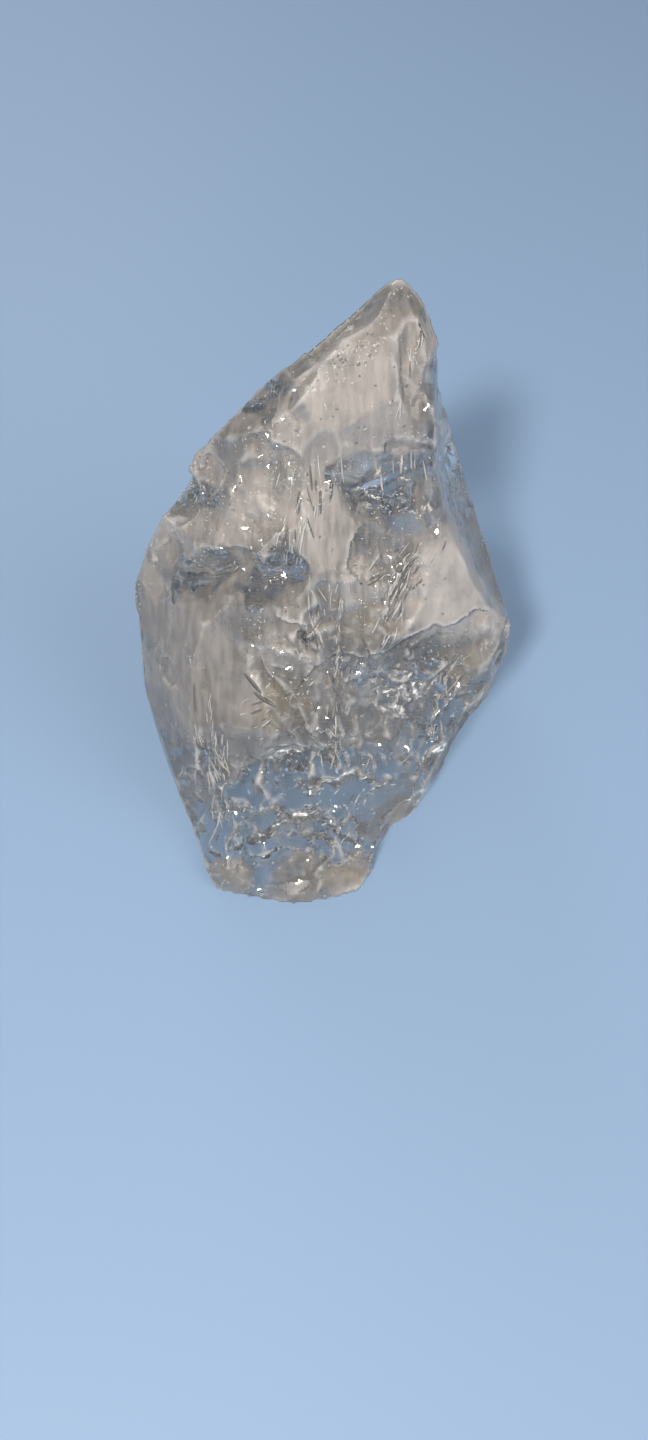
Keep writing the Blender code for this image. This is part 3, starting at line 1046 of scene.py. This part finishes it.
def make_veil(stone, tree, number, material):
    """One milky skin that follows the stone's surface at its depth."""
    depth, waver, fineness, milk, opening = VEILS[number]
    sheet = veil_sheet(stone, number, fineness)
    sheet.data.materials.append(material)
    mesh = sheet.data
    points = points_of(mesh)
    sunk = depth + waver * swell(points, size=6.0, seed=60 + number)
    points = sink(tree, points, normals_of(mesh), sunk, min(VEIL_LEAST, depth))
    ragged = wander(points, size=5.0, reach=2.5, seed=ZONE_SEED)
    milky = front_mask(ragged, tree, MILK, swelling=1.25)
    clear = seen_mask(ragged, tree, WINDOWS)
    drift = swell(points, size=8.0, seed=80 + number)
    upper = rise(points[:, 2], start=12.0, span=22.0)
    behind = points[:, 1] - FRONT_SLOPE * (points[:, 2] - 40.0)
    front = smooth(0.95 - 0.06 * behind)
    rim = (1.0 - smooth(facing_eye(points, normals_of(mesh)) / 0.7)) * upper
    # The milk is a faint haze, more of it high on the front, with drifts, milky places and milky rims.
    haze = 0.05 + 0.48 * upper * front
    cloud = (haze + 0.25 * drift + 0.30 * np.maximum(milky, rim)) * milk - opening * clear
    # Its tone runs from smoky to pale. The rim along the outline, as the eye sees it, is painted paler: a
    # painted highlight. Among the tones, the lighter right face is painted highlight too.
    pale = 0.24 + 0.15 * drift + 0.2 * rim + 0.35 * clear
    for share, places in TONES:
        pale += share * front_mask(ragged, tree, places)
    streaky, calm = (front_mask(ragged, tree, places) for places in (STREAKY, CALM))
    set_points(mesh, points)
    mark(mesh, "milky", cloud)
    mark(mesh, "pale", pale)
    mark(mesh, "golden", GOLD_SHARE * front_mask(ragged, tree, GOLDEN))
    mark(mesh, "fibrous", fibrous_share(streaky, calm))
    only(sheet)
    bpy.ops.object.shade_smooth()
    return sheet


def lens_mesh(sides, rings, hollow):
    """A ball of radius 1 to press a thin lens from, turned inside out if it is a hollow's wall."""
    bpy.ops.object.select_all(action="DESELECT")
    bpy.ops.mesh.primitive_uv_sphere_add(segments=sides, ring_count=rings, radius=1.0)
    lens = bpy.context.object
    bpy.ops.object.mode_set(mode="EDIT")
    bpy.ops.mesh.select_all(action="SELECT")
    if hollow:
        bpy.ops.mesh.flip_normals()
    bpy.ops.object.mode_set(mode="OBJECT")
    mesh = in_order(lens.data)
    bpy.data.objects.remove(lens)
    return mesh


def bent_in(way, normal, ior):
    """The way inside the stone of light that leaves it along the unit vector way, at this normal."""
    across = (way - normal * way.dot(normal)) / ior
    return across + normal * math.sqrt(1.0 - across.length_squared)


def glint_facing(spot, normal):
    """The way a flake at spot faces to throw the key lamp's light out to the eye."""
    ior = bpy.context.scene.quartz_glass.ior
    to_eye = bent_in((EYE - spot).normalized(), normal, ior)
    to_lamp = bent_in((LAMPS["key"][0] - spot).normalized(), normal, ior)
    return (to_eye + to_lamp).normalized()


def add_lens(shape, lens, at, facing, run, size, ripple, seed):
    """Adds a copy of lens to shape, turned to face facing, with a ragged rim and a rippled wall.

    Its size is its width, its length along run and its thickness.
    """
    copy = lens.copy()
    long = (run - facing * run.dot(facing)).normalized()
    spin = Matrix((long.cross(facing), long, facing)).transposed()
    for vertex in copy.vertices:
        flat = Vector((vertex.co.x, vertex.co.y, seed))
        ragged = 1.0 + RAGGED_RIM * noise.noise(flat * 1.3)
        spot = Vector((vertex.co.x * size[0] * ragged, vertex.co.y * size[1] * ragged, 0.0))
        spot.z = vertex.co.z * size[2] + ripple * noise.noise(flat * 2.0 + Vector((5.0, 3.0, 0.0)))
        vertex.co = (Vector(at) + spin @ spot) * MM
    shape.from_mesh(copy)
    bpy.data.meshes.remove(copy)


def add_cracks(shape, tree):
    """Adds the named cracks, each no wider than the stone has room for."""
    crack = lens_mesh(sides=20, rings=10, hollow=True)
    for seed, (place, depth, facing, radius) in enumerate(CRACKS):
        surface, normal = on_front(tree, *place)
        middle = surface - normal * depth
        reach = min(radius, CRACK_REACH * depth_at(tree, middle)[0])
        size = (reach, CRACK_LENGTH * reach, CRACK_THICKNESS)
        add_lens(shape, crack, middle, facing_of(*facing), UPRIGHT, size, CRACK_RIPPLE * reach, seed)
    bpy.data.meshes.remove(crack)


def add_flakes(shape, tree, sparkles):
    """Adds tiny flat hollows that glint, where they lie deep enough."""
    flake = lens_mesh(sides=6, rings=2, hollow=True)
    rng = np.random.default_rng(SEED + 1)
    for seed in range(sparkles):
        (across, up), radius = GLINTS[rng.integers(len(GLINTS))]
        across += rng.normal() * radius * SCATTER
        up += rng.normal() * radius * SCATTER
        surface, normal = on_front(tree, across, up)
        spot = surface - normal * rng.uniform(*FLAKE_DEPTHS)
        length, width = rng.uniform(*FLAKE_LENGTHS), rng.uniform(*FLAKE_WIDTHS)
        under, _, normal = depth_at(tree, spot)
        facing = glint_facing(Vector(spot) * MM, normal) + Vector(rng.normal(size=3)) * FLAKE_STRAY
        if under > FLAKE_CLEARANCE * length:
            size = (width, length, FLAKE_THICKNESS)
            add_lens(shape, flake, spot, facing.normalized(), UPRIGHT, size, 0.0, seed)
    bpy.data.meshes.remove(flake)


def make_cracks(stone, sparkles):
    """Splits the inside: thin hollows that mirror the light, some large and many tiny."""
    tree = BVHTree.FromObject(stone, bpy.context.evaluated_depsgraph_get())
    shape = bmesh.new()
    shape.from_mesh(stone.data)
    add_cracks(shape, tree)
    add_flakes(shape, tree, sparkles)
    shape.to_mesh(stone.data)
    shape.free()
    shade_broken(stone)


def drape(shape, lens, tree, middle, run, size, depth):
    """Adds a copy of lens, laid along run just under the skin. Its size is its width and its length."""
    surface, normal = (Vector(v) for v in on_front(tree, *middle))
    run = (run - normal * run.dot(normal)).normalized()
    across = run.cross(normal)
    copy = lens.copy()
    for vertex in copy.vertices:
        x, y, z = vertex.co
        spot = (surface + across * (x * size[0]) + run * (y * size[1])) * MM
        nearest, outward, _, _ = tree.find_nearest(spot)
        vertex.co = nearest - outward * ((depth - z * SLIVER_THICKNESS) * MM)
    shape.from_mesh(copy)
    bpy.data.meshes.remove(copy)


def add_slivers(shape, sliver, tree, rng):
    """Adds the named runs of slivers. Gives, for each of their points, whether it is white."""
    whites = []
    for start, end, stray, count, length, lean in SLIVERS:
        start, way = np.array(start), np.array(end) - start
        for _ in range(count):
            middle = start + way * rng.random() + rng.normal(size=2) * stray * 0.5
            tilt = math.radians(lean + rng.normal() * SLIVER_TURN)
            size = (rng.uniform(*SLIVER_WIDTHS), 0.5 * length * rng.uniform(*SLIVER_LENGTHS))
            run = Vector((math.sin(tilt), 0.0, math.cos(tilt)))
            drape(shape, sliver, tree, middle, run, size, rng.uniform(*SLIVER_DEPTHS))
            whites += [rng.random() > DARK_SLIVERS] * len(sliver.vertices)
    return whites


def add_seams(shape, sliver, tree, rng):
    """Adds short white slivers along the ridges. Gives, for each of their points, that it is white."""
    whites = []
    for line, _, _ in RIDGES.values():
        for start, end in zip(np.array(line), np.array(line[1:])):
            along = Vector((end[0] - start[0], 0.0, end[1] - start[1]))
            for _ in range(int(SEAM_DENSITY * along.length)):
                middle = start + (end - start) * rng.random() + rng.normal(size=2) * SEAM_STRAY
                run = along.normalized() + Vector(rng.normal(size=3)) * SEAM_TURN
                size = (rng.uniform(*SEAM_WIDTHS), rng.uniform(*SEAM_LENGTHS))
                drape(shape, sliver, tree, middle, run, size, rng.uniform(*SLIVER_DEPTHS))
                whites += [True] * len(sliver.vertices)
    return whites


def add_specks_and_glints(shape, speck, tree, rng, count):
    """Adds specks in the rough and pale places: the white ones are painted glints, the others dark specks.
    Gives, for each of their points, whether it is white.
    """
    whites = []
    places = [(place, SPECK_REACH * radius) for place, radius in GLINTS + ROUGH + PALE]
    for _ in range(count):
        place, radius = places[rng.integers(len(places))]
        middle = np.array(place) + rng.normal(size=2) * radius * SCATTER
        size = (rng.uniform(*SPECK_WIDTHS), rng.uniform(*SPECK_LENGTHS))
        drape(shape, speck, tree, middle, Vector(rng.normal(size=3)), size, rng.uniform(*SLIVER_DEPTHS))
        whites += [rng.random() > DARK_SPECKS] * len(speck.vertices)
    return whites


def add_shaded_slits(shape, sliver, tree):
    """Adds the dark slits, painted shade along the grooves and dark marks elsewhere. Gives, for each of
    their points, that it is not white.
    """
    whites = []
    for start, end, width in SHADED_SLITS:
        middle = (np.array(start) + end) / 2
        run = Vector((end[0] - start[0], 0.0, end[1] - start[1]))
        drape(shape, sliver, tree, middle, run, (width, SLIT_SHARE * run.length), SLIT_DEPTH)
        whites += [False] * len(sliver.vertices)
    return whites


def make_slivers(stone, specks, material):
    """Slivers of bruised quartz, and specks and slits, just under the front, as one piece. Its white specks
    are painted glints, and its dark slits are partly painted shade in the grooves.
    """
    tree = BVHTree.FromObject(stone, bpy.context.evaluated_depsgraph_get())
    rng = np.random.default_rng(SEED + 2)
    shape = bmesh.new()
    sliver = lens_mesh(sides=4, rings=9, hollow=False)
    speck = lens_mesh(sides=5, rings=2, hollow=False)
    sliver.transform(Matrix.Rotation(math.radians(90), 4, "X"))
    whites = add_slivers(shape, sliver, tree, rng)
    whites += add_seams(shape, sliver, tree, rng)
    # White specks: painted glints.
    whites += add_specks_and_glints(shape, speck, tree, rng, specks)
    # Dark slits: partly painted shade in the grooves.
    whites += add_shaded_slits(shape, sliver, tree)
    mesh = bpy.data.meshes.new(SLIVERS_PIECE)
    shape.to_mesh(mesh)
    shape.free()
    for used in (sliver, speck):
        bpy.data.meshes.remove(used)
    slivers = bpy.data.objects.new(SLIVERS_PIECE, mesh)
    bpy.context.scene.collection.objects.link(slivers)
    mesh.materials.append(material)
    white = np.array(whites, dtype=float)
    marks = {"milky": 2.0, "edge": white, "fibrous": 0.5, "pale": white - 0.5, "golden": 0.0}
    for name, values in marks.items():
        mark(mesh, name, values)
    only(slivers)
    bpy.ops.object.shade_smooth()
    return slivers


# --- The stage ----------------------------------------------------------------------------------


def make_table(colour):
    """A plain table top, a hair under the stone's foot."""
    bpy.ops.object.select_all(action="DESELECT")
    bpy.ops.mesh.primitive_plane_add(size=TABLE_SIZE, location=(0, 0, -TABLE_GAP))
    table = bpy.context.object
    table.name = "table"
    material, _, shader = new_material("pale_table")
    shader.inputs["Base Color"].default_value = (*colour, 1.0)
    shader.inputs["Roughness"].default_value = TABLE_ROUGHNESS
    table.data.materials.append(material)
    return table


def hang_lamp(name, place, size, power, colour):
    """A square lamp aimed at the stone, which the camera doesn't see."""
    lamp = bpy.data.lights.new(name, "AREA")
    lamp.size = size
    lamp.energy = power
    lamp.color = colour
    holder = bpy.data.objects.new(name, lamp)
    holder.location = place
    holder.rotation_euler = (LAMPS_AIM - place).to_track_quat("-Z", "Y").to_euler()
    holder.visible_camera = False
    bpy.context.scene.collection.objects.link(holder)


def make_room():
    """An even room that glows a little more overhead."""
    room = bpy.data.worlds.new("studio")
    room.use_nodes = True
    tree = room.node_tree
    way = tree.nodes.new("ShaderNodeTexCoord")
    split = tree.nodes.new("ShaderNodeSeparateXYZ")
    tree.links.new(way.outputs["Generated"], split.inputs["Vector"])
    glow = ranged(tree, split.outputs["Z"], (0.0, 1.0), ROOM_GLOW)
    tree.links.new(glow, tree.nodes["Background"].inputs["Strength"])
    tree.nodes["Background"].inputs["Color"].default_value = ROOM_COLOUR
    return room


def make_camera():
    """The camera, at the eye."""
    camera = bpy.data.cameras.new("camera")
    camera.lens = LENS
    holder = bpy.data.objects.new("camera", camera)
    holder.location = EYE
    holder.rotation_euler = (math.radians(EYE_TILT), 0.0, 0.0)
    bpy.context.scene.collection.objects.link(holder)
    return holder


def set_light_paths(cycles):
    """Lets light pass through many faces of glass, without the grain of focused light."""
    cycles.max_bounces = 24
    cycles.transmission_bounces = 24
    cycles.glossy_bounces = 8
    cycles.diffuse_bounces = 3
    cycles.transparent_max_bounces = 40
    cycles.caustics_reflective = False
    cycles.caustics_refractive = False
    cycles.use_denoising = True


# --- Operators ----------------------------------------------------------------------------------


class QUARTZ_OT_stone(bpy.types.Operator):
    """Carve the stone's broken surface"""

    bl_idname = "quartz.stone"
    bl_label = "Carve the stone"

    def execute(self, context):
        stone = make_stone(context.scene.quartz_shape)
        stone.data.materials.append(quartz_material(context.scene.quartz_glass, streak_group()))
        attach(stone, BODY)
        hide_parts(CHUNK_NODE)
        return {"FINISHED"}


class QUARTZ_OT_veils(bpy.types.Operator):
    """Seal milky veils under the broken faces"""

    bl_idname = "quartz.veils"
    bl_label = "Seal the veils"

    def execute(self, context):
        stone = bpy.data.objects[CHUNK]
        tree = BVHTree.FromObject(stone, context.evaluated_depsgraph_get())
        material = veil_material(context.scene.quartz_inside, bpy.data.node_groups[STREAK_GROUP])
        for number in range(len(VEILS)):
            veil = make_veil(stone, tree, number, material)
            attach(veil, BODY)
        return {"FINISHED"}


class QUARTZ_OT_slivers(bpy.types.Operator):
    """Lay white slivers, specks that are partly painted glints, and dark slits that are partly painted
    shade, just under the front
    """

    bl_idname = "quartz.slivers"
    # The front's bruises come with painted glints and painted shade.
    bl_label = "Bruise the front"

    def execute(self, context):
        stone = bpy.data.objects[CHUNK]
        slivers = make_slivers(stone, context.scene.quartz_inside.specks, bpy.data.materials[MILK_FINISH])
        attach(slivers, BODY)
        return {"FINISHED"}


class QUARTZ_OT_cracks(bpy.types.Operator):
    """Split the inside with cracks and glinting flakes"""

    bl_idname = "quartz.cracks"
    bl_label = "Crack the inside"

    def execute(self, context):
        make_cracks(bpy.data.objects[CHUNK], context.scene.quartz_inside.sparkles)
        return {"FINISHED"}


class QUARTZ_OT_stage(bpy.types.Operator):
    """Set up the table, the lights and the camera"""

    bl_idname = "quartz.stage"
    bl_label = "Set the stage"

    def execute(self, context):
        table = make_table(context.scene.quartz_stage.floor)
        for name, lamp in LAMPS.items():
            hang_lamp(name, *lamp)
        context.scene.world = make_room()
        context.scene.camera = make_camera()
        set_light_paths(context.scene.cycles)
        context.scene.view_settings.view_transform = "Standard"
        return {"FINISHED"}


class QUARTZ_PT_panel(bpy.types.Panel):
    """The settings of the stone, and the steps that build it"""

    bl_label = "Rough quartz chunk"
    bl_idname = "QUARTZ_PT_panel"
    bl_space_type = "VIEW_3D"
    bl_region_type = "UI"
    bl_category = "Quartz"

    def draw(self, context):
        for name, settings in SETTINGS.items():
            box = self.layout.box()
            for setting in settings.__annotations__:
                box.prop(getattr(context.scene, name), setting)
        for operator in OPERATORS:
            self.layout.operator(operator.bl_idname)


SETTINGS = {
    "quartz_shape": QuartzShape,
    "quartz_glass": QuartzGlass,
    "quartz_inside": QuartzInside,
    "quartz_stage": QuartzStage,
}
OPERATORS = (
    QUARTZ_OT_stone,
    QUARTZ_OT_veils,
    QUARTZ_OT_slivers,
    QUARTZ_OT_cracks,
    QUARTZ_OT_stage,
)


def register():
    for cls in (*SETTINGS.values(), *OPERATORS, QUARTZ_PT_panel):
        bpy.utils.register_class(cls)
    for name, cls in SETTINGS.items():
        setattr(bpy.types.Scene, name, PointerProperty(type=cls))


def unregister():
    for name in SETTINGS:
        delattr(bpy.types.Scene, name)
    for cls in reversed((*SETTINGS.values(), *OPERATORS, QUARTZ_PT_panel)):
        bpy.utils.unregister_class(cls)


def main():
    register()
    bpy.ops.quartz.stone()
    bpy.ops.quartz.veils()
    bpy.ops.quartz.slivers()
    bpy.ops.quartz.cracks()
    bpy.ops.quartz.stage()


if __name__ == "__main__":
    main()
